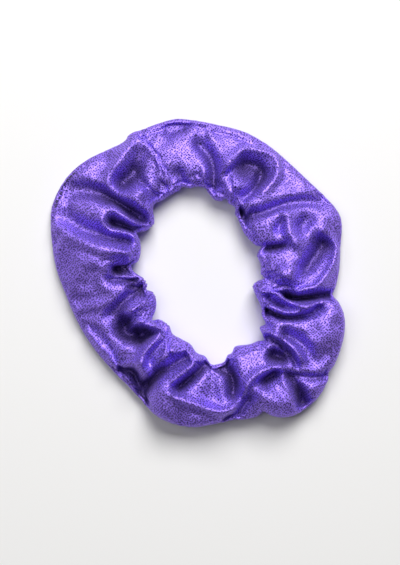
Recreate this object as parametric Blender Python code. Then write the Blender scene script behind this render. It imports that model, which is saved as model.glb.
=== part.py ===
"""A fabric hair scrunchie, lying flat: a gathered cloth cover with a loop of flat elastic inside it.

The loop is one continuous ring in use. Here it is cut at its left and right sides into an upper and a lower
half, so that the lower half can slide away from the upper one as the elastic stretches.
Metres, +Z up. The origin is on the resting plane, under the middle of the loop's box.
"""

import math

import bmesh
import bpy
from mathutils import Vector

MM = 0.001

# The loop's two outlines as (degrees from +X, millimetres from the middle). The cover is wide and flat on the
# left and at the top, and bunched up at the lower right.
OUTER_RIM = (
    (0, 52.0), (12, 54.3), (22, 56.5), (32, 54.6), (46, 52.8), (62, 54.2), (80, 55.2), (97, 57.4),
    (110, 56.8), (120, 56.0), (132, 58.0), (145, 60.1), (155, 59.8), (165, 56.6), (178, 52.7),
    (192, 49.4), (208, 48.0), (222, 47.9), (236, 49.0), (248, 52.6), (258, 56.0), (268, 57.0),
    (282, 55.8), (294, 57.8), (306, 63.6), (316, 63.4), (326, 60.7), (338, 58.5), (350, 51.8),
)  # fmt: skip
INNER_RIM = (
    (0, 23.2), (20, 23.8), (40, 23.2), (55, 25.5), (70, 28.3), (90, 31.0), (108, 31.0), (122, 29.3),
    (134, 25.6), (148, 25.2), (165, 22.8), (180, 22.8), (196, 19.4), (214, 19.2), (230, 22.8),
    (248, 24.6), (262, 27.0), (278, 33.3), (292, 32.2), (308, 31.8), (322, 30.0), (336, 24.6), (350, 22.2),
)  # fmt: skip

# The cover's cross-section, from the inner side over the top to the seam at the outer edge and back under:
# share of the width, share of the height, and how much of a fold's bulge reaches that point.
SECTION = (
    (0.00, 0.45, 1.0), (0.06, 0.80, 1.0), (0.20, 1.00, 1.0), (0.40, 0.96, 1.0), (0.62, 0.74, 0.8),
    (0.83, 0.45, 0.4), (0.97, 0.22, 0.0), (1.00, 0.10, 0.0), (0.95, 0.00, 0.0), (0.60, 0.00, 0.0),
    (0.20, 0.00, 0.0), (0.05, 0.14, 0.5),
)  # fmt: skip
OUTER_EDGE_POINTS = slice(6, 9)
COVER_HEIGHT = 16.5 * MM
COVER_WALL = 1.4 * MM
FOLD_COUNT = 26
FOLD_BULGE = 1.6 * MM
COVER_STATIONS = 72
HOLLOW_STATIONS = 36

ELASTIC_WIDTH = 5.0 * MM
ELASTIC_THICKNESS = 1.2 * MM
ELASTIC_FROM_RIM = 4.2 * MM
ELASTIC_MIDDLE_HEIGHT = 5.9 * MM
ELASTIC_STATIONS = 36

THREAD_RADIUS = 0.2 * MM
SEAM_SHARE = 0.905
SEAM_HEIGHT_SHARE = 0.155
SEAM_STATIONS = 36
CROSS_SEAM_ANGLE = 108.0
CLOSING_ANGLES = (140.5, 155.5)
CLOSING_FROM_EDGE = 2.0 * MM
CLOSING_STITCHES = 8
STEPS_IN_A_STITCH = 4
STITCH_LIFT = 0.35 * MM
STITCH_CLEAR = 0.5 * MM
ELASTIC_JOIN_ANGLES = (136.0, 160.0)
ZIGZAG_TURNS = 9
ZIGZAG_HEIGHT = 3.4 * MM

CUT_GAP = 0.3 * MM
CUT_RADIUS = 37 * MM
CLEAR = 0.35 * MM


def rim_radius(knots, degrees):
    """Radius of an outline at an angle: a smooth closed curve through its knots, in metres."""
    degrees %= 360
    count = len(knots)
    upper = next((i for i, knot in enumerate(knots) if knot[0] > degrees), count)
    around = []
    for index in range(upper - 2, upper + 2):
        turns, place = divmod(index, count)
        around.append((knots[place][0] + 360 * turns, knots[place][1]))
    (a0, r0), (a1, r1), (a2, r2), (a3, r3) = around
    span = a2 - a1
    share = (degrees - a1) / span
    start_slope = (r2 - r0) / (a2 - a0) * span
    end_slope = (r3 - r1) / (a3 - a1) * span
    square = share * share
    cube = square * share
    return MM * (
        r1 * (2 * cube - 3 * square + 1)
        + start_slope * (cube - 2 * square + share)
        + r2 * (3 * square - 2 * cube)
        + end_slope * (cube - square)
    )


def outline_middle():
    """The middle of the outer rim's box, which the whole loop is shifted by."""
    rim = [(math.radians(a), rim_radius(OUTER_RIM, a)) for a in range(360)]
    xs = [radius * math.cos(turn) for turn, radius in rim]
    ys = [radius * math.sin(turn) for turn, radius in rim]
    return Vector(((min(xs) + max(xs)) / 2, (min(ys) + max(ys)) / 2, 0))


MIDDLE = outline_middle()


def place(degrees, radius, height):
    turn = math.radians(degrees)
    return Vector((radius * math.cos(turn), radius * math.sin(turn), height)) - MIDDLE


def section_points(degrees, fold):
    """The cover's cross-section at an angle as (radius, height), with folds bulging out by fold metres."""
    inner = rim_radius(INNER_RIM, degrees)
    width = rim_radius(OUTER_RIM, degrees) - inner
    points = [Vector((width * across, COVER_HEIGHT * up)) for across, up, _ in SECTION]
    middle = Vector((width * 0.45, COVER_HEIGHT * 0.4))
    for point, (_, _, share) in zip(points, SECTION):
        point += (point - middle).normalized() * fold * share
        point.x += inner
    return points


def top_height(across):
    """Height of the cover's top at a share of its width from the hole, between the folds."""
    for (near, low, _), (far, high, _) in zip(SECTION, SECTION[1:]):
        if near <= across <= far:
            return COVER_HEIGHT * (low + (high - low) * (across - near) / (far - near))
    return 0.0


def inset(points, distance):
    """A closed convex outline moved inwards by distance."""
    moved = []
    count = len(points)
    for index, point in enumerate(points):
        before = (point - points[index - 1]).normalized()
        after = (points[(index + 1) % count] - point).normalized()
        inward = Vector((before.y + after.y, -before.x - after.x)).normalized()
        moved.append(point + inward * distance / max(0.5, Vector((before.y, -before.x)).dot(inward)))
    return moved


def fold_at(degrees):
    """How far a gather stands out at an angle: rounded crests with narrow valleys between."""
    return FOLD_BULGE * abs(math.sin(math.radians(degrees) * FOLD_COUNT / 2)) ** 0.7


def cover_section(degrees):
    return [place(degrees, point.x, point.y) for point in section_points(degrees, fold_at(degrees))]


def hollow_section(degrees, wall=COVER_WALL):
    return [place(degrees, point.x, point.y) for point in inset(section_points(degrees, 0.0), wall)]


def join_loops(mesh, near, far):
    """A band of four-sided faces between two loops with the same number of points."""
    for index in range(len(near)):
        mesh.faces.new((near[index - 1], near[index], far[index], far[index - 1]))


def half_angles(upper, stations):
    """Angles from one cut of the loop to the other, leaving half a gap at each, midway across the cover."""
    cut = math.degrees(CUT_GAP / 2 / CUT_RADIUS)
    start = cut if upper else 180 + cut
    return [start + (180 - 2 * cut) * index / stations for index in range(stations + 1)]


def finish(name, mesh, material):
    bmesh.ops.recalc_face_normals(mesh, faces=mesh.faces)
    data = bpy.data.meshes.new(name)
    mesh.to_mesh(data)
    mesh.free()
    data.shade_smooth()
    data.set_sharp_from_angle(angle=math.radians(60))
    data.materials.append(material)
    bpy.context.scene.collection.objects.link(bpy.data.objects.new(name, data))


def skinned(mesh, sections):
    """Joins closed sections one after the other, and returns the first and the last loop of points."""
    loops = [[mesh.verts.new(point) for point in section] for section in sections]
    for near, far in zip(loops, loops[1:]):
        join_loops(mesh, near, far)
    return loops[0], loops[-1]


def make_cover_half(name, upper, material):
    """Half of the gathered tube, hollow from one cut end to the other."""
    mesh = bmesh.new()
    outside = skinned(mesh, [cover_section(a) for a in half_angles(upper, COVER_STATIONS)])
    inside = skinned(mesh, [hollow_section(a) for a in half_angles(upper, HOLLOW_STATIONS)])
    for outer_end, inner_end in zip(outside, inside):
        join_loops(mesh, outer_end, inner_end)
    finish(name, mesh, material)


def elastic_radius(degrees):
    return rim_radius(INNER_RIM, degrees) + ELASTIC_FROM_RIM


def make_elastic_half(name, upper, material):
    """Half of the flat elastic band, standing on edge near the inner side of the cover."""
    mesh = bmesh.new()
    low = ELASTIC_MIDDLE_HEIGHT - ELASTIC_WIDTH / 2
    high = ELASTIC_MIDDLE_HEIGHT + ELASTIC_WIDTH / 2
    corners = ((0, low), (ELASTIC_THICKNESS, low), (ELASTIC_THICKNESS, high), (0, high))
    sections = [
        [place(angle, elastic_radius(angle) + out, height) for out, height in corners]
        for angle in half_angles(upper, ELASTIC_STATIONS)
    ]
    for end in skinned(mesh, sections):
        mesh.faces.new(end)
    finish(name, mesh, material)


def make_thread(name, points, material, closed=False):
    curve = bpy.data.curves.new(name, "CURVE")
    curve.dimensions = "3D"
    curve.bevel_depth = THREAD_RADIUS
    curve.bevel_resolution = 1
    curve.use_fill_caps = True
    spline = curve.splines.new("POLY")
    spline.points.add(len(points) - 1)
    spline.use_cyclic_u = closed
    for target, point in zip(spline.points, points):
        target.co = (*point, 1.0)
    curve.materials.append(material)
    bpy.context.scene.collection.objects.link(bpy.data.objects.new(name, curve))


def make_long_seam_half(name, upper, material):
    """The stitching that closes the cloth strip into a tube, inside the cover along its outer edge."""
    points = []
    for angle in half_angles(upper, SEAM_STATIONS):
        inner = rim_radius(INNER_RIM, angle)
        radius = inner + (rim_radius(OUTER_RIM, angle) - inner) * SEAM_SHARE
        points.append(place(angle, radius, COVER_HEIGHT * SEAM_HEIGHT_SHARE))
    make_thread(name, points, material)


def make_cross_seam(material):
    """The stitching that joins the strip's two short ends, a ring that stops short of the long seam."""
    ring = hollow_section(CROSS_SEAM_ANGLE, COVER_WALL + CLEAR + THREAD_RADIUS)
    points = ring[:OUTER_EDGE_POINTS.start] + ring[OUTER_EDGE_POINTS.stop:]
    make_thread("cross_seam_thread", points, material, closed=True)


def make_closing_stitches(material):
    """The topstitching over the gap that the cover was turned through: one thread in a row of short waves."""
    start, end = CLOSING_ANGLES
    steps = CLOSING_STITCHES * STEPS_IN_A_STITCH
    points = []
    for step in range(steps + 1):
        angle = start + (end - start) * step / steps
        outer = rim_radius(OUTER_RIM, angle)
        width = outer - rim_radius(INNER_RIM, angle)
        surface = top_height(1 - CLOSING_FROM_EDGE / width)
        wave = STITCH_LIFT * abs(math.sin(math.pi * step / STEPS_IN_A_STITCH))
        points.append(place(angle, outer - CLOSING_FROM_EDGE, surface + STITCH_CLEAR + THREAD_RADIUS + wave))
    make_thread("closing_stitches", points, material)


def make_elastic_join(material):
    """The zigzag stitching that closes the elastic into a loop, on the band's outer face."""
    start, end = ELASTIC_JOIN_ANGLES
    points = []
    for turn in range(ZIGZAG_TURNS + 1):
        angle = start + (end - start) * turn / ZIGZAG_TURNS
        radius = elastic_radius(angle) + ELASTIC_THICKNESS + CLEAR + THREAD_RADIUS
        side = 1 if turn % 2 else -1
        points.append(place(angle, radius, ELASTIC_MIDDLE_HEIGHT + side * ZIGZAG_HEIGHT / 2))
    make_thread("elastic_join_stitches", points, material)


def make_material(name, colour, roughness, metallic):
    material = bpy.data.materials.new(name)
    material.use_nodes = True
    shader = material.node_tree.nodes["Principled BSDF"]
    shader.inputs["Base Color"].default_value = (*colour, 1.0)
    shader.inputs["Roughness"].default_value = roughness
    shader.inputs["Metallic"].default_value = metallic
    material.diffuse_color = (*colour, 1.0)
    return material


for old in list(bpy.data.objects):
    bpy.data.objects.remove(old)

foil_spandex = make_material("purple_foil_spandex", (0.13, 0.05, 0.52), 0.42, 0.55)
violet_thread = make_material("violet_polyester_thread", (0.03, 0.015, 0.16), 0.7, 0.0)
white_thread = make_material("white_polyester_thread", (0.75, 0.75, 0.74), 0.7, 0.0)
braided_elastic = make_material("white_braided_elastic", (0.72, 0.71, 0.69), 0.85, 0.0)

for half in ("upper", "lower"):
    make_cover_half(f"cover_{half}", half == "upper", foil_spandex)
    make_elastic_half(f"elastic_{half}", half == "upper", braided_elastic)
    make_long_seam_half(f"long_seam_thread_{half}", half == "upper", violet_thread)
make_cross_seam(violet_thread)
make_closing_stitches(violet_thread)
make_elastic_join(white_thread)
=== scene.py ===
"""A hair scrunchie in purple foil-dot spandex, lying flat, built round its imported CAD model."""

import bmesh
import bpy
import numpy as np
from mathutils import Matrix, Vector


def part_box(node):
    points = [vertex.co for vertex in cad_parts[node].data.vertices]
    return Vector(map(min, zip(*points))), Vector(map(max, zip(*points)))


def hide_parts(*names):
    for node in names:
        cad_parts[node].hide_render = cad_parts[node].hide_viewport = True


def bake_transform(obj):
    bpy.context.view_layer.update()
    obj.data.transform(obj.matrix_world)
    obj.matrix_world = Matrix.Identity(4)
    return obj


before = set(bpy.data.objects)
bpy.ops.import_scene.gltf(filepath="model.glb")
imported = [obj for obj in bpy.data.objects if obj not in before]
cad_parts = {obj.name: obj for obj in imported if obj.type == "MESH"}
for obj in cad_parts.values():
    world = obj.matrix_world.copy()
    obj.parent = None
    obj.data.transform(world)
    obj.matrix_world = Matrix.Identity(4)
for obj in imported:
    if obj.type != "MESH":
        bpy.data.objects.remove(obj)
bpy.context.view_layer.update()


# --------------------------------------------------------------------------------------------------
# Table and daylight. The scrunchie lies on a plain white table. One broad soft light stands behind
# it and a weaker one hangs above it, and the camera looks straight down.
# --------------------------------------------------------------------------------------------------
MM = 0.001
VIEW_WIDTH = 148 * MM
VIEW_HEIGHT = VIEW_WIDTH * 565 / 400  # the frame's proportions
VIEW_MIDDLE = Vector((0.7, -3.7, 2.5)) * MM
LENS_MM = 100
SENSOR_MM = 36
TABLE_HALF_SIDE = 3.0

scene = bpy.context.scene
camera_data = bpy.data.cameras.new("camera")
camera_data.lens = LENS_MM
camera_data.sensor_width = SENSOR_MM
camera = bpy.data.objects.new("camera", camera_data)
camera.location = VIEW_MIDDLE + Vector((0, 0, VIEW_HEIGHT * LENS_MM / SENSOR_MM))
scene.collection.objects.link(camera)
scene.camera = camera


def softbox(name, place, side, watts):
    """A rectangular area light at a place, turned towards the scrunchie."""
    data = bpy.data.lights.new(name, "AREA")
    data.shape = "RECTANGLE"
    data.size, data.size_y = side
    data.energy = watts
    light = bpy.data.objects.new(name, data)
    light.location = place
    light.rotation_euler = (-Vector(place)).to_track_quat("-Z", "Y").to_euler()
    scene.collection.objects.link(light)


softbox("window", (0.16, 0.76, 1.0), side=(0.8, 0.7), watts=19.8)
softbox("overhead", (-0.4, 0.05, 1.0), side=(0.6, 0.6), watts=2.6)

world = bpy.data.worlds.new("daylight")
world.use_nodes = True
sky = world.node_tree.nodes["Background"]
sky.inputs["Color"].default_value = (1.0, 0.985, 0.99, 1)
sky.inputs["Strength"].default_value = 0.05
scene.world = world
scene.view_settings.view_transform = "Standard"

table_material = bpy.data.materials.new("white_table")
table_material.use_nodes = True
table_shader = table_material.node_tree.nodes["Principled BSDF"]
table_shader.inputs["Base Color"].default_value = (0.83, 0.825, 0.815, 1)
table_shader.inputs["Roughness"].default_value = 0.6

table_mesh = bmesh.new()
bmesh.ops.create_grid(table_mesh, x_segments=1, y_segments=1, size=TABLE_HALF_SIDE)
table_data = bpy.data.meshes.new("table")
table_mesh.to_mesh(table_data)
table_mesh.free()
table_data.materials.append(table_material)
table = bpy.data.objects.new("table", table_data)
scene.collection.objects.link(table)


# --------------------------------------------------------------------------------------------------
# Elastic. A flat white braided band, five millimetres wide, sewn into a loop. It stands on edge
# inside the cover, close to the hole, and is never seen: it gathers the cloth and shapes the hole.
# --------------------------------------------------------------------------------------------------
# Edge of the hole as (degrees from +X, millimetres from the middle): the rounded tips of the gathers
# and the notches between them.
HOLE_EDGE = (
    (0, 22.9), (7, 23.1), (14, 22.4), (19, 22.9), (22, 24.9), (25, 23.3), (32, 22.3), (40, 22.1), (49, 23.4),
    (54, 24.6), (58, 25.4), (60, 27.3), (66, 27.7), (69.5, 28.8), (72, 27.5), (78, 27.5), (82.6, 29.4),
    (85, 30.8), (90, 31.5), (96, 31.1), (99.7, 31.9), (103, 30.9), (108, 30.3), (116, 29.6), (123, 29.6),
    (126, 28.0), (130, 24.8), (134, 23.8), (140, 24.2), (144, 25.2), (147, 26.6), (150, 24.7), (157, 22.7),
    (166, 22.0), (171, 22.6), (173, 24.4), (177, 24.2), (181, 22.6), (186, 20.0), (192, 19.1), (196, 19.2),
    (198, 20.1), (201, 18.4), (208, 17.8), (216, 18.8), (222, 21.0), (226, 24.3), (229, 22.6), (234, 21.9),
    (242, 22.2), (247, 24.2), (256, 25.1), (264, 26.5), (269, 29.3), (275, 31.0), (277.4, 33.7), (282, 34.4),
    (287, 33.9), (289.5, 32.2), (293, 31.9), (296, 30.4), (300, 30.8), (306, 32.4), (311, 33.3), (315, 34.4),
    (317.5, 30.6), (320, 30.4), (323, 31.0), (326, 28.1), (331, 26.4), (337, 23.2), (343, 21.1), (348, 20.6),
    (352, 21.7), (354.7, 24.2), (357, 23.3),
)
ELASTIC_THICKNESS = 1.0 * MM
ELASTIC_FROM_HOLE = 4.3 * MM
ELASTIC_LEAST_FROM_HOLE = 3.0 * MM
ELASTIC_SINK = 2.3 * MM
ELASTIC_STATIONS = 240
ELASTIC_POINTS = 12
NOTCHES_EVENED = 11
BENDS_EVENED = 5
BRAID_LENGTH = 0.21
BRAID_GIRTH = 0.012

elastic_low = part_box("elastic_upper")[0].z - ELASTIC_SINK
elastic_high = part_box("elastic_upper")[1].z - ELASTIC_SINK


def smooth_loop(knots, degrees):
    """Radii, in metres, of a closed outline at an array of angles, on a smooth curve through its knots."""
    angles = np.array([knot[0] for knot in knots], float)
    radii = np.array([knot[1] for knot in knots], float)
    angles = np.concatenate([angles[-2:] - 360, angles, angles[:3] + 360])
    radii = np.concatenate([radii[-2:], radii, radii[:3]])
    slopes = np.zeros(len(radii))
    slopes[1:-1] = (radii[2:] - radii[:-2]) / (angles[2:] - angles[:-2])
    wrapped = np.mod(degrees, 360)
    start = np.clip(np.searchsorted(angles, wrapped, side="right") - 1, 1, len(angles) - 3)
    span = angles[start + 1] - angles[start]
    share = (wrapped - angles[start]) / span
    square, cube = share**2, share**3
    return MM * (
        radii[start] * (2 * cube - 3 * square + 1)
        + slopes[start] * span * (cube - 2 * square + share)
        + radii[start + 1] * (3 * square - 2 * cube)
        + slopes[start + 1] * span * (cube - square)
    )


def evened(values, spread):
    """A closed row of values, each averaged with about as many neighbours as spread on either side."""
    offsets = np.arange(-3 * spread, 3 * spread + 1)
    weights = np.exp(-((offsets / spread) ** 2))
    return sum(w * np.roll(values, o) for w, o in zip(weights, offsets)) / weights.sum()


def elastic_radii(degrees):
    """Distance of the band's inner face from the middle, at an array of angles."""
    all_round = np.arange(360)
    hole = smooth_loop(HOLE_EDGE, all_round)
    band = np.maximum(evened(hole, NOTCHES_EVENED) + ELASTIC_FROM_HOLE, hole + ELASTIC_LEAST_FROM_HOLE)
    band = evened(band, BENDS_EVENED)
    return np.interp(np.mod(degrees, 360), np.arange(361), np.append(band, band[0]))


def polar(degrees, radius):
    """Places seen from above, from their angles and their distances from the middle."""
    turns = np.radians(degrees)
    return np.stack([radius * np.cos(turns), radius * np.sin(turns)], axis=-1)


def ring_object(name, places, length=1.0, girth=1.0):
    """A closed tube through a grid of places, one row for each station, with a UV map of its surface."""
    stations, around = places.shape[:2]
    mesh = bmesh.new()
    uv = mesh.loops.layers.uv.new("cloth")
    verts = [[mesh.verts.new(place) for place in row] for row in places]
    for i in range(stations):
        for j in range(around):
            corners = ((i, j), (i + 1, j), (i + 1, j + 1), (i, j + 1))
            face = mesh.faces.new([verts[a % stations][b % around] for a, b in corners])
            for loop, (a, b) in zip(face.loops, corners):
                loop[uv].uv = (length * a / stations, girth * b / around)
            face.smooth = True
    bmesh.ops.recalc_face_normals(mesh, faces=mesh.faces)
    data = bpy.data.meshes.new(name)
    mesh.to_mesh(data)
    mesh.free()
    piece = bpy.data.objects.new(name, data)
    scene.collection.objects.link(piece)
    return piece


def squarish(wave, power):
    """A wave brought to run from 0 to 1, and squarer the smaller the power is."""
    return 0.5 + 0.5 * np.sign(wave) * np.abs(wave) ** power


def band_places():
    """The band's rounded section at each station round the loop."""
    degrees = np.arange(ELASTIC_STATIONS) * 360 / ELASTIC_STATIONS
    turns = np.arange(ELASTIC_POINTS) * 2 * np.pi / ELASTIC_POINTS
    out = squarish(np.cos(turns), 0.5)
    up = squarish(np.sin(turns), 0.4)
    radius = elastic_radii(degrees)[:, None] + ELASTIC_THICKNESS * out[None, :]
    height = elastic_low + (elastic_high - elastic_low) * up
    flat = polar(np.broadcast_to(degrees[:, None], radius.shape), radius)
    return np.concatenate([flat, np.broadcast_to(height, radius.shape)[..., None]], axis=-1)


elastic = ring_object("elastic", band_places(), BRAID_LENGTH, BRAID_GIRTH)

# Slanting ribs of the braid, with a painted highlight on their tops and painted shade in the grooves between
# them.
braid = bpy.data.materials.new("braided_elastic")
braid.use_nodes = True
nodes, links = braid.node_tree.nodes, braid.node_tree.links
shader = nodes["Principled BSDF"]
shader.inputs["Roughness"].default_value = 0.8
shader.inputs["Sheen Weight"].default_value = 0.3
run = nodes.new("ShaderNodeUVMap")
run.uv_map = "cloth"
ribs = nodes.new("ShaderNodeTexWave")
ribs.wave_type = "BANDS"
ribs.bands_direction = "DIAGONAL"
ribs.inputs["Scale"].default_value = 320
ribs.inputs["Distortion"].default_value = 1.5
ribs.inputs["Detail Scale"].default_value = 400
tone = nodes.new("ShaderNodeMix")
tone.data_type = "RGBA"
# A is the painted shade in the grooves and B the painted highlight on the ribs' tops.
tone.inputs["A"].default_value = (0.52, 0.51, 0.50, 1)
tone.inputs["B"].default_value = (0.82, 0.81, 0.79, 1)
relief = nodes.new("ShaderNodeBump")
relief.inputs["Distance"].default_value = 0.15 * MM
links.new(run.outputs["UV"], ribs.inputs["Vector"])
links.new(ribs.outputs["Fac"], tone.inputs["Factor"])
links.new(tone.outputs["Result"], shader.inputs["Base Color"])
links.new(ribs.outputs["Fac"], relief.inputs["Height"])
links.new(relief.outputs["Normal"], shader.inputs["Normal"])
elastic.data.materials.append(braid)
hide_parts("elastic_upper", "elastic_lower")
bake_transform(elastic)


# --------------------------------------------------------------------------------------------------
# Elastic join. The zigzag in white thread that sews the band's two ends into a loop. It runs over the
# join on the band's outer face.
# --------------------------------------------------------------------------------------------------
THREAD_RADIUS = 0.16 * MM
TWIST_PER_METRE = 4000
TWIST_RELIEF = 0.05 * MM
ZIGZAG_SPAN = (136, 160)
ZIGZAG_TURNS = 12
ZIGZAG_REACH = 1.6 * MM


def tube_along(name, runs, radius, closed=False):
    """Thread of round section along each of the runs of points, as one mesh."""
    curve = bpy.data.curves.new(name, "CURVE")
    curve.dimensions = "3D"
    curve.bevel_depth = radius
    curve.bevel_resolution = 2
    curve.use_fill_caps = True
    for run in runs:
        spline = curve.splines.new("POLY")
        spline.points.add(len(run) - 1)
        spline.use_cyclic_u = closed
        for target, point in zip(spline.points, run):
            target.co = (*point, 1.0)
    drawn = bpy.data.objects.new(name + "_curve", curve)
    scene.collection.objects.link(drawn)
    bpy.context.view_layer.update()
    data = bpy.data.meshes.new_from_object(drawn.evaluated_get(bpy.context.evaluated_depsgraph_get()))
    bpy.data.objects.remove(drawn)
    data.name = name
    data.shade_smooth()
    piece = bpy.data.objects.new(name, data)
    scene.collection.objects.link(piece)
    return piece


def spun_twist():
    """The node group of every thread here: two colours in a fine twist, with the twist as relief."""
    group = bpy.data.node_groups.new("spun_twist", "ShaderNodeTree")
    group.interface.new_socket("Dark", in_out="INPUT", socket_type="NodeSocketColor")
    group.interface.new_socket("Light", in_out="INPUT", socket_type="NodeSocketColor")
    group.interface.new_socket("Color", in_out="OUTPUT", socket_type="NodeSocketColor")
    group.interface.new_socket("Normal", in_out="OUTPUT", socket_type="NodeSocketVector")
    nodes, links = group.nodes, group.links
    given = nodes.new("NodeGroupInput")
    result = nodes.new("NodeGroupOutput")
    place = nodes.new("ShaderNodeTexCoord")
    twist = nodes.new("ShaderNodeTexNoise")
    twist.inputs["Scale"].default_value = TWIST_PER_METRE
    tone = nodes.new("ShaderNodeMix")
    tone.data_type = "RGBA"
    relief = nodes.new("ShaderNodeBump")
    relief.inputs["Distance"].default_value = TWIST_RELIEF
    links.new(place.outputs["Object"], twist.inputs["Vector"])
    links.new(twist.outputs["Fac"], tone.inputs["Factor"])
    links.new(given.outputs["Dark"], tone.inputs["A"])
    links.new(given.outputs["Light"], tone.inputs["B"])
    links.new(tone.outputs["Result"], result.inputs["Color"])
    links.new(twist.outputs["Fac"], relief.inputs["Height"])
    links.new(relief.outputs["Normal"], result.inputs["Normal"])
    return group


twist_group = spun_twist()


def thread_material(name, dark, light):
    """Spun sewing thread in two tones of one colour."""
    material = bpy.data.materials.new(name)
    material.use_nodes = True
    nodes, links = material.node_tree.nodes, material.node_tree.links
    shader = nodes["Principled BSDF"]
    shader.inputs["Roughness"].default_value = 0.6
    shader.inputs["Sheen Weight"].default_value = 0.2
    spun = nodes.new("ShaderNodeGroup")
    spun.node_tree = twist_group
    spun.inputs["Dark"].default_value = (*dark, 1)
    spun.inputs["Light"].default_value = (*light, 1)
    links.new(spun.outputs["Color"], shader.inputs["Base Color"])
    links.new(spun.outputs["Normal"], shader.inputs["Normal"])
    return material


def join_points():
    """The zigzag's corners, in turn above and below the middle of the band's outer face."""
    degrees = np.linspace(*ZIGZAG_SPAN, ZIGZAG_TURNS + 1)
    radius = elastic_radii(degrees) + ELASTIC_THICKNESS + THREAD_RADIUS
    middle = (elastic_low + elastic_high) / 2
    height = middle + np.where(np.arange(ZIGZAG_TURNS + 1) % 2, ZIGZAG_REACH, -ZIGZAG_REACH)
    return np.concatenate([polar(degrees, radius), height[:, None]], axis=-1)


white_thread = thread_material("white_thread", (0.55, 0.55, 0.54), (0.8, 0.8, 0.79))
elastic_join = tube_along("elastic_join", [join_points()], THREAD_RADIUS)
elastic_join.data.materials.append(white_thread)
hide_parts("elastic_join_stitches")
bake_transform(elastic_join)


# --------------------------------------------------------------------------------------------------
# Cover. One strip of foil-printed spandex, sewn into a tube along the outer edge and gathered by the
# elastic inside, so that deep folds run out from the hole and die away towards the long seam.
# --------------------------------------------------------------------------------------------------
# Outer edge as (degrees from +X, millimetres from the middle).
OUTER_EDGE = (
    (0, 52.1), (10, 53.6), (20, 56.5), (25, 56.3), (31, 54.8), (40, 53.2), (50, 52.9), (62, 54.0), (72, 54.9),
    (82, 55.2), (90, 56.2), (98, 57.5), (105, 57.2), (111, 56.9), (115, 57.1), (120, 55.8), (127, 56.7),
    (135, 58.8), (142, 60.0), (150, 60.1), (157, 59.2), (163, 57.2), (170, 54.9), (179, 52.5), (187, 50.3),
    (195, 49.0), (204, 48.2), (217, 47.8), (228, 48.1), (238, 49.3), (246, 51.6), (253, 54.8), (260, 56.4),
    (268, 57.0), (276, 56.1), (283, 55.7), (289, 57.0), (293, 57.3), (295.3, 56.6), (297, 59.2), (300, 61.7),
    (304, 63.5), (309, 64.0), (315, 63.7), (320, 62.3), (322.5, 60.8), (326, 60.7), (333, 59.5), (339, 58.1),
    (344, 56.1), (348, 53.2), (350.5, 50.6), (354, 51.2),
)
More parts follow.
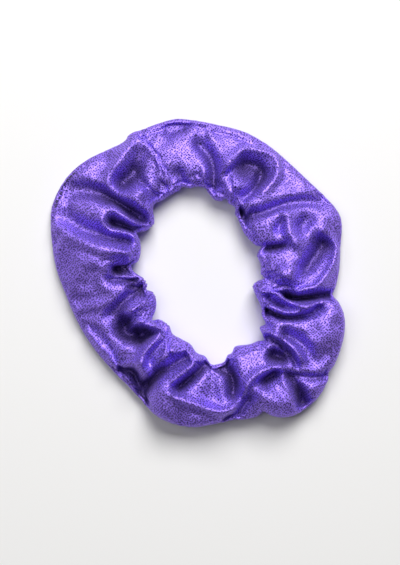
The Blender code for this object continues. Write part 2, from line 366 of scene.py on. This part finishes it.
# Folds as (rises, half-widths, run). The rise above the plain cover, or below it, and the half-width
# are in millimetres, each at the run's first and last point. The run's points are given like those of
# the edges, from the hole's upper left round to the left and on.
FOLDS = (
    # from the hole's upper left round to its left
    ((-4.2, -3.4), (3.8, 3.8), ((130, 43.5), (124, 43.5))),
    ((-1.7, -1.5), (2.6, 2.6), ((131, 43.5), (127.5, 42.5), (122.5, 41.5))),
    ((-2.2, -0.8), (2.4, 2.2), ((121, 45), (117, 49))),
    ((-2.5, -2.5), (1.8, 1.6), ((121.5, 38.5), (119.5, 31.5))),
    ((2.0, 2.0), (2.4, 2.4), ((127.2, 36.4), (125.2, 35.4))),
    ((1.8, 2.6), (2.5, 2.1), ((117, 53.5), (124, 50.5), (131.6, 47.5), (134.6, 41.5), (132.3, 34),
                              (131, 28))),
    ((-2.5, -7.0), (3.6, 2.0), ((147.5, 55), (143, 49), (140.4, 44), (137.6, 36.4), (135, 29))),
    ((-7.0, -5.5), (1.9, 1.5), ((149.6, 36.6), (148, 32.5), (146.4, 28))),
    ((1.8, 1.8), (1.5, 1.5), ((142.5, 39.5), (142, 34), (140.5, 29))),
    ((2.2, 1.8), (1.7, 1.6), ((150.5, 39.5), (154.5, 36), (152.5, 31), (151, 27))),
    ((-2.0, -4.5), (3.4, 2.0), ((157, 52), (158.5, 44), (157.8, 36), (156, 29))),
    ((1.5, 2.2), (3.0, 2.2), ((162, 54), (164.5, 46), (166, 37.5), (164, 27))),
    ((-7.0, -7.0), (2.0, 1.8), ((177.8, 29.5), (176, 25.5))),
    ((1.2, 1.2), (6.0, 6.0), ((184, 46), (180, 44))),
    ((1.2, 1.2), (4.0, 4.0), ((170, 50), (171.5, 38))),
    ((-3.2, -4.2), (1.4, 1.3), ((184, 32), (187.5, 23.8))),
    ((-4.5, -4.5), (1.2, 1.2), ((192.5, 25), (195, 22.5))),
    # from the left round to the bottom
    ((-4.5, -2.5), (1.6, 2.6), ((199, 22), (201, 28.5), (206, 35))),
    ((2.0, 2.0), (2.2, 2.2), ((207, 22), (208.5, 28))),
    ((-4.6, -4.2), (3.6, 3.2), ((216, 33.5), (221.5, 33.5), (226.5, 31.5))),
    ((-2.4, -2.4), (2.6, 2.6), ((214, 32.5), (220.5, 34.5), (228, 33))),
    ((-4.6, -3.2), (2.2, 1.5), ((227, 31), (233, 28), (238.5, 25))),
    ((2.6, 3.2), (1.4, 1.4), ((221.5, 28.5), (228.5, 26.2), (235.5, 25.2))),
    ((2.8, 2.6), (1.7, 1.7), ((237, 26), (237, 29), (236.5, 33), (236.8, 37), (239, 40.5), (243.5, 41))),
    ((-1.8, -1.8), (1.3, 1.3), ((241, 30), (240.2, 34.5), (241, 37.5))),
    ((2.0, 2.0), (3.2, 3.2), ((249, 31), (248.5, 34))),
    ((-3.0, -7.5), (2.0, 2.4), ((261.6, 31.3), (255, 34.5), (249.5, 38), (246.5, 43), (245.5, 47),
                                (246, 51))),
    ((-5.5, -5.5), (1.7, 1.7), ((231.5, 45), (236, 43.5), (241, 45.5))),
    ((1.4, 2.4), (1.3, 1.5), ((208, 46.2), (220, 45.2), (229, 45.3), (233.5, 41.5), (238, 38.5))),
    ((-2.4, -2.4), (1.8, 1.8), ((207, 49), (222, 48.6), (236, 49.2), (247, 52.5))),
    ((2.6, 2.6), (4.8, 4.8), ((255.5, 46), (256.5, 51.5))),
    ((-7.0, -4.0), (2.2, 1.0), ((259.8, 43), (264, 40), (270, 36.5), (276, 33.8))),
    ((2.6, 2.6), (1.4, 1.4), ((257.5, 41), (261, 37.6), (267, 33.3), (270, 30.8))),
    ((2.2, 2.2), (1.5, 1.5), ((254, 29.8), (260, 29), (267, 29.3))),
    # the long ridge across the bottom and what it shelters
    ((3.2, 3.2), (1.7, 1.5), ((258, 44.5), (264, 46.6), (270.6, 48.4), (276, 50.3), (281.3, 51.2),
                              (286, 49.3), (290.5, 46), (296, 43.5), (303, 43.1), (310.7, 45.7))),
    ((-1.5, -1.5), (4.5, 4.5), ((276.5, 46), (277.5, 38))),
    ((-5.5, -5.5), (2.4, 2.6), ((285, 34.5), (287.8, 40), (286.7, 46.5))),
    ((-3.0, -3.5), (1.8, 1.8), ((281, 53.6), (286, 53), (292, 50))),
    ((3.0, 3.0), (4.2, 4.2), ((298, 51), (300.5, 55.5))),
    ((-6.5, -6.5), (1.8, 1.8), ((301.5, 46.8), (307, 46.4))),
    ((-3.5, -6.0), (1.2, 2.4), ((311, 49.5), (310.8, 55), (309.2, 60.5))),
    ((1.5, 1.5), (1.2, 1.2), ((308.2, 50), (306.5, 56), (304.6, 61))),
    ((-3.0, -3.6), (1.3, 1.5), ((313, 51.5), (317, 56), (321, 60.3))),
    ((-6.5, -6.5), (2.2, 2.2), ((314.5, 43.5), (312.5, 41))),
    ((2.2, 2.6), (1.3, 1.4), ((316.8, 31.5), (320.3, 35), (322, 39), (321.5, 44), (319.5, 48.5))),
    ((-4.0, -4.0), (1.2, 1.2), ((317.3, 35), (318.8, 40), (318.2, 45), (317, 49))),
    ((-3.5, -1.5), (2.2, 2.8), ((324.5, 39.5), (325.2, 46), (322.5, 53))),
    ((2.2, 2.2), (6.5, 6.5), ((336, 53), (341, 51))),
    # the tight fingers at the right of the hole
    ((2.6, 2.6), (1.4, 1.4), ((344, 24), (341, 30), (341, 36.5), (344, 43), (347, 46))),
    ((2.4, 2.4), (1.2, 1.2), ((336.5, 27), (334, 30.5), (336, 36), (338.8, 40.3), (341.5, 42.5))),
    ((-9.0, -7.0), (1.3, 1.3), ((344.2, 33.5), (346, 38), (348.3, 43.5), (350, 48))),
    ((-6.0, -5.0), (0.9, 0.9), ((341.5, 27.5), (338.6, 32.5), (340, 37))),
    ((-6.0, -5.5), (1.3, 1.2), ((343.5, 45.5), (339.3, 43), (335.3, 38.5), (332.5, 34), (331, 29))),
    ((-2.2, -2.2), (1.4, 1.4), ((355, 25), (352, 29), (351.3, 33))),
    ((2.4, 2.4), (3.0, 3.0), ((358, 31), (0, 33.5))),
    # from the right round to the top
    ((-5.0, -4.0), (3.5, 2.9), ((12.5, 46.4), (8.5, 43.5), (3, 40))),
    ((1.6, 2.8), (1.7, 1.5), ((18, 48), (12, 51), (5, 50), (358.5, 46.8), (352.5, 42.5), (349.2, 37.5))),
    ((-6.0, -5.0), (1.5, 1.4), ((19, 27.5), (17.5, 32))),
    ((2.0, 2.0), (2.0, 2.0), ((33, 38), (24, 36.8), (16.8, 37.3))),
    ((-3.0, -3.0), (3.0, 3.0), ((25, 43.5), (23.5, 41.5))),
    ((-3.0, -3.0), (1.7, 1.7), ((31, 36), (28, 33.5))),
    ((-1.8, -4.0), (2.6, 1.8), ((30, 52), (35, 44.7), (39.6, 37), (45, 29.5), (47.5, 25.5))),
    ((-6.0, -6.0), (1.1, 1.1), ((54.3, 27.6), (53.3, 26.6))),
    ((-3.4, -3.4), (3.6, 3.6), ((64.5, 41), (58.5, 41.5))),
    ((-3.5, -3.0), (2.2, 1.8), ((66, 44), (60, 44.8), (56.5, 42.5), (55.8, 37.5), (58, 32.5))),
    ((-2.0, -2.0), (1.8, 1.8), ((73, 37), (69.5, 41.5))),
    ((1.5, 1.5), (2.6, 2.6), ((68, 32.5), (66.5, 34.5))),
    ((1.6, 1.6), (1.7, 1.7), ((74, 41), (70, 47.8), (62, 50.3), (55, 50), (51, 45), (51.5, 38))),
    ((-3.4, -4.6), (2.7, 2.5), ((89, 46.5), (84.5, 43), (81, 38.5), (79.8, 33))),
    ((1.5, 1.5), (2.6, 2.6), ((75.2, 42), (74.5, 38))),
    ((1.5, 1.5), (2.2, 2.2), ((85, 36.5), (86, 33.5))),
    ((-2.5, -2.5), (2.0, 2.0), ((102, 52.3), (95.5, 53.2))),
    ((-1.2, -2.6), (2.6, 2.6), ((116, 47), (115, 42), (112.5, 35))),
    ((-2.6, -2.6), (2.2, 2.2), ((101, 37), (99, 34.5))),
)

# Height of the outer edge above the table, as (degrees, millimetres): low where the long seam runs
# along it, and puffed up where the tube has rolled and the seam lies underneath.
EDGE_HEIGHTS = (
    (0, 3.6), (30, 2.8), (60, 2.4), (110, 2.4), (150, 2.4), (190, 2.6), (225, 2.8), (243, 4.0), (258, 6.0),
    (275, 6.4), (300, 5.6), (325, 5.4), (345, 4.4),
)
# Height of the tube's crest above the table, given the same way.
CREST_HEIGHTS = ((0, 14.2), (50, 13.2), (90, 11.4), (130, 12.8), (175, 14.2), (270, 14.2))
CLOTH_THICKNESS = 0.4 * MM

# The grid that is laid: rows round the loop, and columns over the top and back underneath. The rows
# are closer together round the angles in CROWDED, given as (degrees, spread, how many more).
STATIONS = 280
CROWDED = ((338, 16, 0.7), (110, 5, 0.8))
TOP_POINTS = 32
UNDER_POINTS = 12
RIM_CROWDING = 0.45

# The plain section, from its rim at the hole over the crest to its rounded outer edge. CREST_AT and
# UNDER_TURN are shares of that way, and RIM_HEIGHT is a share of the crest's height.
CREST_AT = 0.3
RIM_HEIGHT = 0.42
EDGE_FULLNESS = 1.9
EDGE_FALL = 1.5
SHARPEST_EDGE = 0.03
EDGE_ROUNDING = 40 * MM
UNDER_TURN = 0.16
RESTING_HEIGHT = 0.45 * MM

# How the folds are drawn. They fade at the hole and at the outer edge, level out softly above
# LOWEST_TOP, and stay above the band where they cross it. Valleys narrower than ROUND_FROM are pinched.
FOLD_GAIN = 1.35
FADE_AT_HOLE = 0.08
FADE_AT_EDGE = 0.05
ROUND_FROM = 2.3 * MM
PINCHED_WITHIN = 0.9 * MM
PINCH_FALL = 1.35
LOWEST_TOP = 2.4 * MM
ABOVE_BAND = 1.0 * MM
BESIDE_BAND = 2.3 * MM
SOFT_LANDING = 0.8 * MM
DEEPEST = 8.0 * MM
UNDER_SHARE = 0.15
UNDER_DEEPEST = 5.5 * MM


def run_points(run, steps=8):
    """A fold's run as closely spaced points on a smooth curve, in metres."""
    knots = polar(np.array([p[0] for p in run], float), MM * np.array([p[1] for p in run], float))
    ends = np.concatenate([[2 * knots[0] - knots[1]], knots, [2 * knots[-1] - knots[-2]]])
    points = []
    for index in range(1, len(ends) - 2):
        before, start, end, after = ends[index - 1 : index + 3]
        for t in np.arange(steps) / steps:
            bend = 2 * before - 5 * start + 4 * end - after
            twist = 3 * start - before - 3 * end + after
            points.append(0.5 * (2 * start + (end - before) * t + bend * t**2 + twist * t**3))
    points.append(knots[-1])
    return np.array(points)


def fold_rise(places, rises, widths, run):
    """How much one fold raises each of the places, in metres."""
    points = run_points(run)
    nearest = np.full(len(places), np.inf)
    along = np.zeros(len(places))
    for index in range(len(points) - 1):
        step = points[index + 1] - points[index]
        share = np.clip(((places - points[index]) @ step) / (step @ step), 0, 1)
        gap = np.linalg.norm(places - points[index] - share[:, None] * step, axis=1)
        closer = gap < nearest
        nearest[closer] = gap[closer]
        along[closer] = (index + share[closer]) / (len(points) - 1)
    width = MM * (widths[0] + (widths[1] - widths[0]) * along)
    rise = MM * (rises[0] + (rises[1] - rises[0]) * along)
    away = nearest / width
    # Ridges and wide hollows are round, and narrow valleys are pinched.
    pinch = np.where(rise < 0, np.clip((ROUND_FROM - width) / PINCHED_WITHIN, 0, 1), 0)
    round_fold = np.exp(-(away**2))
    pinched_fold = np.exp(-PINCH_FALL * (np.sqrt(0.04 + away**2) - 0.2))  # its tip rounded a little
    return rise * ((1 - pinch) * round_fold + pinch * pinched_fold)


def quarter_round(share):
    """Height of a quarter circle, from 0 at its foot to 1 at its top."""
    return np.sqrt(1 - (1 - np.clip(share, 0, 1)) ** 2)


def spread_out(count, crowding):
    """Shares from 0 to 1, closer together at both ends."""
    share = np.linspace(0, 1, count)
    return share - crowding * np.sin(2 * np.pi * share) / (2 * np.pi)


def station_degrees():
    """Angles of the stations, closer together where the folds are narrow and at the cross seam."""
    fine = np.arange(361)
    crowding = 1 + sum(more * np.exp(-(((fine - at) / spread) ** 2)) for at, spread, more in CROWDED)
    passed = np.concatenate([[0], np.cumsum((crowding[1:] + crowding[:-1]) / 2)])
    return np.interp(np.arange(STATIONS) / STATIONS, passed / passed[-1], fine)


def cover_places():
    """The cover's grid as it is laid, and how deep in a fold each of its places is, from 0 to 1, for the
    painted shade.
    """
    degrees = station_degrees()
    inner = smooth_loop(HOLE_EDGE, degrees)
    outer = smooth_loop(OUTER_EDGE, degrees)
    over = spread_out(TOP_POINTS, RIM_CROWDING)
    back = spread_out(UNDER_POINTS + 2, RIM_CROWDING)[-2:0:-1]
    across = np.concatenate([over, back])
    is_top = np.arange(len(across)) < TOP_POINTS
    radius = inner[:, None] + (outer - inner)[:, None] * across[None, :]
    flat = polar(np.broadcast_to(degrees[:, None], radius.shape), radius)

    crest = smooth_loop(CREST_HEIGHTS, degrees)[:, None]
    rim = RIM_HEIGHT * crest
    edge = smooth_loop(EDGE_HEIGHTS, degrees)[:, None]
    past_crest = np.clip((across - CREST_AT) / (1 - CREST_AT), 0, 1)
    fall = crest - (crest - EDGE_FULLNESS * edge) * past_crest**EDGE_FALL
    edge_round = quarter_round((1 - across) / (SHARPEST_EDGE + edge / EDGE_ROUNDING))
    plain_top = np.where(
        across < CREST_AT,
        rim + (crest - rim) * quarter_round(across / CREST_AT),
        edge + (fall - edge) * edge_round,
    )

    folds = FOLD_GAIN * sum(fold_rise(flat.reshape(-1, 2), *fold) for fold in FOLDS).reshape(radius.shape)
    reach = np.clip(across / FADE_AT_HOLE, 0, 1) * np.clip((1 - across) / FADE_AT_EDGE, 0, 1)
    from_band = radius - elastic_radii(degrees)[:, None] - ELASTIC_THICKNESS / 2
    over_band = np.exp(-((from_band / BESIDE_BAND) ** 4))
    floor = LOWEST_TOP + (elastic_high + ABOVE_BAND - LOWEST_TOP) * over_band
    raised = plain_top + folds * reach
    top = floor + SOFT_LANDING * np.logaddexp(0, (raised - floor) / SOFT_LANDING)
    top = top * reach + plain_top * (1 - reach)

    hollow = UNDER_SHARE * np.clip(-folds, 0, UNDER_DEEPEST) * reach
    inner_turn = (rim - RESTING_HEIGHT) * (1 - quarter_round(across / UNDER_TURN))
    under = RESTING_HEIGHT + hollow * (1 - over_band) + inner_turn
    under = under + (edge - RESTING_HEIGHT) * (1 - edge_round)

    height = np.where(is_top, top, under)
    depth = np.where(is_top, np.clip(-folds, 0, DEEPEST) * reach / DEEPEST, 0.0)
    return np.concatenate([flat, height[..., None]], axis=-1), depth


# The cloth is let go for a moment, a little larger than the space it fills, so that it buckles and
# settles as gathered cloth does. It is twenty times its size meanwhile, because the solver's
# distances suit large cloth. Its rims and its underside are held more firmly than its top.
SETTLE_SCALE = 20
SETTLE_FRAMES = 20
SPARE_CLOTH = 0.05
BAND_GAP = 0.3 * MM
HELD_TOP = 0.25
HELD_UNDER = 0.6
HELD_RIM = 0.9


def settled(piece, hold, inside):
    """Places of a piece's points after its cloth has settled round a core, each held by its weight."""
    piece.data.transform(Matrix.Scale(SETTLE_SCALE, 4))
    group = piece.vertex_groups.new(name="held")
    for index, weight in enumerate(hold):
        group.add([index], float(weight), "REPLACE")
    core = bpy.data.objects.new("core", inside.data.copy())
    core.data.transform(Matrix.Scale(SETTLE_SCALE, 4))
    scene.collection.objects.link(core)
    core.modifiers.new("collision", "COLLISION")
    core.collision.thickness_outer = BAND_GAP * SETTLE_SCALE
    modifier = piece.modifiers.new("settle", "CLOTH")
    cloth = modifier.settings
    cloth.quality = 7
    cloth.mass = 0.15
    cloth.air_damping = 3.0
    cloth.tension_stiffness = 15
    cloth.compression_stiffness = 15
    cloth.shear_stiffness = 6
    cloth.bending_stiffness = 6.0
    cloth.tension_damping = 8
    cloth.compression_damping = 8
    cloth.shear_damping = 8
    cloth.bending_damping = 1.0
    cloth.vertex_group_mass = "held"
    cloth.pin_stiffness = 2.0
    cloth.shrink_min = -SPARE_CLOTH
    cloth.effector_weights.gravity = 0.0
    contact = modifier.collision_settings
    contact.use_collision = True
    contact.distance_min = BAND_GAP * SETTLE_SCALE
    contact.use_self_collision = True
    contact.self_distance_min = CLOTH_THICKNESS * SETTLE_SCALE
    contact.self_friction = 4
    contact.collision_quality = 3
    modifier.point_cache.frame_start = 1
    modifier.point_cache.frame_end = SETTLE_FRAMES
    for frame_number in range(1, SETTLE_FRAMES + 1):
        scene.frame_set(frame_number)
    evaluated = piece.evaluated_get(bpy.context.evaluated_depsgraph_get())
    places = np.array([vert.co for vert in evaluated.data.vertices]) / SETTLE_SCALE
    bpy.data.objects.remove(core)
    scene.frame_set(1)
    return places


laid_grid, laid_depth = cover_places()
cover_grid = laid_grid
held_column = np.full(TOP_POINTS + UNDER_POINTS, HELD_TOP)
held_column[TOP_POINTS:] = HELD_UNDER
held_column[[0, 1, TOP_POINTS - 2, TOP_POINTS - 1]] = HELD_RIM
loose = ring_object("loose_cover", laid_grid)
cover_grid = settled(loose, np.tile(held_column, STATIONS), elastic).reshape(laid_grid.shape)
bpy.data.objects.remove(loose)


def finer(grid):
    """The grid, or values on it, with twice as many rows and columns, and rounded as it is split."""
    for axis in (0, 1):
        before, after = np.roll(grid, 1, axis), np.roll(grid, -1, axis)
        rows = np.stack([(before + 6 * grid + after) / 8, (grid + after) / 2], axis=axis + 1)
        shape = list(grid.shape)
        shape[axis] *= 2
        grid = rows.reshape(shape)
    return grid


def facing(grid):
    """Unit normals of a ring's grid, pointing out of the tube."""
    along = np.roll(grid, -1, 0) - np.roll(grid, 1, 0)
    around = np.roll(grid, -1, 1) - np.roll(grid, 1, 1)
    normals = np.cross(around, along)
    return normals / np.linalg.norm(normals, axis=-1, keepdims=True)


def near_edge(degrees, inset):
    """A run along the outer edge, a number of millimetres inside it."""
    return [(d, float(smooth_loop(OUTER_EDGE, np.array([d]))[0] / MM - inset)) for d in degrees]


# The seams show as narrow creases with the seam allowance as a low ridge beside them, given like the
# folds. The cross seam runs from the outer edge to the hole, and the long seam just inside the edge.
SEAM_CREASES = (
    ((-0.7, -0.6), (0.45, 0.45), ((113.2, 55.5), (112.4, 53.2), (110.5, 46.9), (107.6, 40.3), (104.9, 31.6))),
    ((0.3, 0.35), (0.8, 0.7), ((115.0, 55.0), (114.0, 53.0), (112.2, 46.9), (109.7, 40.3), (107.6, 31.8))),
    ((-0.1, -0.4), (0.4, 0.4), ((114.1, 46.9), (111.9, 40.3), (110.6, 31.8))),
    ((0.5, 0.3), (0.9, 0.9), ((117.0, 56.0), (115.0, 56.0), (113.4, 55.4))),
    ((-0.8, -0.8), (0.7, 0.7), near_edge(range(64, 118, 6), 3.2)),
    ((-0.7, -0.7), (0.6, 0.6), near_edge(range(136, 196, 6), 1.7)),
    ((-0.6, -0.6), (0.6, 0.6), near_edge(range(10, 66, 6), 1.5)),
    ((-0.8, -0.7), (0.9, 0.8), near_edge(range(204, 240, 5), 3.4)),
)

cover_grid = finer(cover_grid)
laid_fine = finer(laid_grid)
laid_flat = laid_fine[..., :2].reshape(-1, 2)
crease = sum(fold_rise(laid_flat, *fold) for fold in SEAM_CREASES).reshape(cover_grid.shape[:2])
crease[:, 2 * TOP_POINTS :] = 0.0  # the underside has none
cover_grid = cover_grid + crease[..., None] * facing(cover_grid)
cover_grid[..., 2] = np.maximum(cover_grid[..., 2], RESTING_HEIGHT)

cover = ring_object("cover", cover_grid)
# Each point keeps how deep in a fold it lies, for the shade painted into the cloth's colour there.
depth = cover.data.attributes.new("depth", "FLOAT", "POINT")
depth.data.foreach_set("value", finer(laid_depth).ravel().astype(np.float32))


def lay_pattern(piece):
    """Sets the UV map so that the printed dots keep their size: each face is seen along the nearest way."""
    steps = (-1, 0, 1)
    ways = [Vector((x, y, z)).normalized() for x in steps for y in steps for z in steps if x or y or z]
    rights = [way.orthogonal() for way in ways]
    frames = [(way, r.normalized(), way.cross(r).normalized()) for way, r in zip(ways, rights)]
    data = piece.data
    uv = data.uv_layers["cloth"].data
    for face in data.polygons:
        way, right, up = max(frames, key=lambda found: found[0].dot(face.normal))
        for loop in face.loop_indices:
            place = data.vertices[data.loops[loop].vertex_index].co
            uv[loop].uv = (place.dot(right), place.dot(up))


lay_pattern(cover)
wall = cover.modifiers.new("cloth", "SOLIDIFY")
wall.thickness = CLOTH_THICKNESS
wall.offset = -1

SPECK_PITCH = 0.82 * MM
DOT_PITCH = 0.5 * MM
DOT_LEAN = 0.32
BARE_CLOTH = (0.008, 0.004, 0.06, 1)
PURPLE_FOIL = (0.405, 0.252, 1.0, 1)
# Painted shade deep in the folds: the share of the colour that is left at the deepest.
FOLD_PAINTED_SHADE = 0.36

# Foil with small gaps in it, where the dark cloth shows.
foil = bpy.data.materials.new("foil_spandex")
foil.use_nodes = True
nodes, links = foil.node_tree.nodes, foil.node_tree.links
shader = nodes["Principled BSDF"]
shader.inputs["Metallic"].default_value = 0.85
shader.inputs["Roughness"].default_value = 0.62
shader.inputs["Sheen Weight"].default_value = 0.04
shader.inputs["Sheen Roughness"].default_value = 0.35
shader.inputs["Sheen Tint"].default_value = (0.75, 0.65, 1.0, 1)
place = nodes.new("ShaderNodeUVMap")
place.uv_map = "cloth"
specks = nodes.new("ShaderNodeTexVoronoi")
specks.voronoi_dimensions = "2D"
specks.inputs["Scale"].default_value = 1 / SPECK_PITCH
specks.inputs["Randomness"].default_value = 0.65
links.new(place.outputs["UV"], specks.inputs["Vector"])
mask = nodes.new("ShaderNodeMapRange")
mask.interpolation_type = "SMOOTHSTEP"
mask.inputs["From Min"].default_value = 0.24
mask.inputs["From Max"].default_value = 0.35
links.new(specks.outputs["Distance"], mask.inputs["Value"])
colour = nodes.new("ShaderNodeMix")
colour.data_type = "RGBA"
colour.inputs["A"].default_value = BARE_CLOTH
colour.inputs["B"].default_value = PURPLE_FOIL
links.new(mask.outputs["Result"], colour.inputs["Factor"])

# Painted shade: the colour is darkened deep in the folds, where their shade falls.
deep = nodes.new("ShaderNodeAttribute")
deep.attribute_name = "depth"
shade = nodes.new("ShaderNodeMapRange")
shade.inputs["From Min"].default_value = 0.12
shade.inputs["From Max"].default_value = 0.75
shade.inputs["To Min"].default_value = 1.0
shade.inputs["To Max"].default_value = FOLD_PAINTED_SHADE
links.new(deep.outputs["Fac"], shade.inputs["Value"])
shaded = nodes.new("ShaderNodeVectorMath")
shaded.operation = "SCALE"
links.new(colour.outputs["Result"], shaded.inputs[0])
links.new(shade.outputs["Result"], shaded.inputs["Scale"])
links.new(shaded.outputs["Vector"], shader.inputs["Base Color"])

# Each dot of foil leans its own way, by its cell's random colour, so that it glints by itself.
dots = nodes.new("ShaderNodeTexVoronoi")
dots.voronoi_dimensions = "2D"
dots.inputs["Scale"].default_value = 1 / DOT_PITCH
links.new(place.outputs["UV"], dots.inputs["Vector"])
tilt = nodes.new("ShaderNodeVectorMath")
tilt.operation = "SUBTRACT"
tilt.inputs[1].default_value = (0.5, 0.5, 0.5)
links.new(dots.outputs["Color"], tilt.inputs[0])
lean = nodes.new("ShaderNodeVectorMath")
lean.operation = "SCALE"
lean.inputs["Scale"].default_value = DOT_LEAN
links.new(tilt.outputs["Vector"], lean.inputs[0])
surface = nodes.new("ShaderNodeNewGeometry")
leaning = nodes.new("ShaderNodeVectorMath")
leaning.operation = "ADD"
links.new(surface.outputs["Normal"], leaning.inputs[0])
links.new(lean.outputs["Vector"], leaning.inputs[1])
unit = nodes.new("ShaderNodeVectorMath")
unit.operation = "NORMALIZE"
links.new(leaning.outputs["Vector"], unit.inputs[0])
links.new(unit.outputs["Vector"], shader.inputs["Normal"])
cover.data.materials.append(foil)

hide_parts("cover_upper", "cover_lower")
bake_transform(cover)


# --------------------------------------------------------------------------------------------------
# Long seam thread. The running stitch in dark violet thread that closes the strip into a tube. It
# lies inside the tube, a little way in from the outer edge.
# --------------------------------------------------------------------------------------------------
STITCH_LENGTH = 2.6 * MM
STITCH_SWING = 0.2 * MM
# The seam lies midway between these columns of the grid, one on the top and one underneath.
SEAM_ABOVE = 2 * TOP_POINTS - 7
SEAM_BELOW = 2 * TOP_POINTS + 3


def seam_line():
    """The seam's closed line, with the thread's small swing up and down once in each stitch."""
    middle = (cover_grid[:, SEAM_ABOVE] + cover_grid[:, SEAM_BELOW]) / 2
    steps = np.linalg.norm(np.roll(middle, -1, 0) - middle, axis=1)
    stitches = np.round(steps.sum() / STITCH_LENGTH)
    middle[:, 2] += STITCH_SWING * np.sin(2 * np.pi * stitches * np.cumsum(steps) / steps.sum())
    return middle


violet_thread = thread_material("violet_thread", (0.008, 0.004, 0.03), (0.03, 0.015, 0.09))
long_seam = tube_along("long_seam", [seam_line()], THREAD_RADIUS, closed=True)
long_seam.data.materials.append(violet_thread)
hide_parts("long_seam_thread_upper", "long_seam_thread_lower")
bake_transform(long_seam)


# --------------------------------------------------------------------------------------------------
# Cross seam thread. The stitching in dark violet thread that joins the strip's two short ends. It is
# a ring inside the tube at the upper left, under the crease from the outer edge to the hole.
# --------------------------------------------------------------------------------------------------
CROSS_SEAM = SEAM_CREASES[0][2]
SEAM_DEPTH = 0.9 * MM

seam_angles = np.array([knot[0] for knot in CROSS_SEAM[::-1]])
seam_radii = np.array([knot[1] for knot in CROSS_SEAM[::-1]]) * MM
outward = facing(cover_grid)
laid_angles = np.mod(np.degrees(np.arctan2(laid_fine[..., 1], laid_fine[..., 0])), 360)
laid_radii = np.hypot(laid_fine[..., 0], laid_fine[..., 1])


def cross_seam_line():
    """The seam's line inside the tube: under the top from the hole to near the edge, and back."""
    over = range(2, 2 * TOP_POINTS - 8)
    back = range(2 * TOP_POINTS + 4, cover_grid.shape[1] - 2)
    points = []
    for column in (*over, *back):
        wanted = np.interp(laid_radii[:, column], seam_radii, seam_angles)
        station = np.argmin(np.abs(laid_angles[:, column] - wanted))
        points.append(cover_grid[station, column] - SEAM_DEPTH * outward[station, column])
    for _ in range(2):  # the line is evened, so that it stays inside at the folds
        points = (np.roll(points, 1, 0) + 2 * np.array(points) + np.roll(points, -1, 0)) / 4
    return points


cross_seam = tube_along("cross_seam", [cross_seam_line()], THREAD_RADIUS, closed=True)
cross_seam.data.materials.append(violet_thread)
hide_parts("cross_seam_thread")
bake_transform(cross_seam)


# --------------------------------------------------------------------------------------------------
# Closing stitches. The gap left for threading the elastic is closed by hand at the left of the outer
# edge, with a short row of dark violet stitches. Each one goes down into the cloth at both ends.
# --------------------------------------------------------------------------------------------------
STITCHES = 9
STITCH_SPAN = (140.6, 155.6)
STITCH_FROM_EDGE = 1.9 * MM
STITCH_COVERS = 0.62
TOPSTITCH_RADIUS = 1.5 * THREAD_RADIUS
# One stitch as (place along its length, rise above the cloth in millimetres).
STITCH_PROFILE = ((-0.5, -0.3), (-0.38, 0.28), (0.0, 0.38), (0.38, 0.28), (0.5, -0.3))


def on_cover(degree, radius):
    """The place and the outward normal on the cover's top, at an angle and a distance from the middle."""
    wanted = polar(degree, radius)
    tops = laid_fine[:, : 2 * TOP_POINTS, :2]
    station, column = np.unravel_index(np.argmin(np.sum((tops - wanted) ** 2, axis=-1)), tops.shape[:2])
    normal = outward[station, column]
    offset = np.append(wanted - tops[station, column], 0.0)
    return cover_grid[station, column] + offset - normal * (offset @ normal), normal


def closing_runs():
    """One short run of points for each stitch."""
    pitch = (STITCH_SPAN[1] - STITCH_SPAN[0]) / STITCHES
    runs = []
    for number in range(STITCHES):
        middle = STITCH_SPAN[0] + pitch * (number + 0.5)
        run = []
        for share, rise in STITCH_PROFILE:
            degree = middle + pitch * STITCH_COVERS * share
            radius = smooth_loop(OUTER_EDGE, np.array([degree]))[0] - STITCH_FROM_EDGE
            place, normal = on_cover(degree, radius)
            run.append(place + rise * MM * normal)
        runs.append(np.array(run))
    return runs


closing = tube_along("closing", closing_runs(), TOPSTITCH_RADIUS)
closing.data.materials.append(violet_thread)
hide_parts("closing_stitches")
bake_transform(closing)
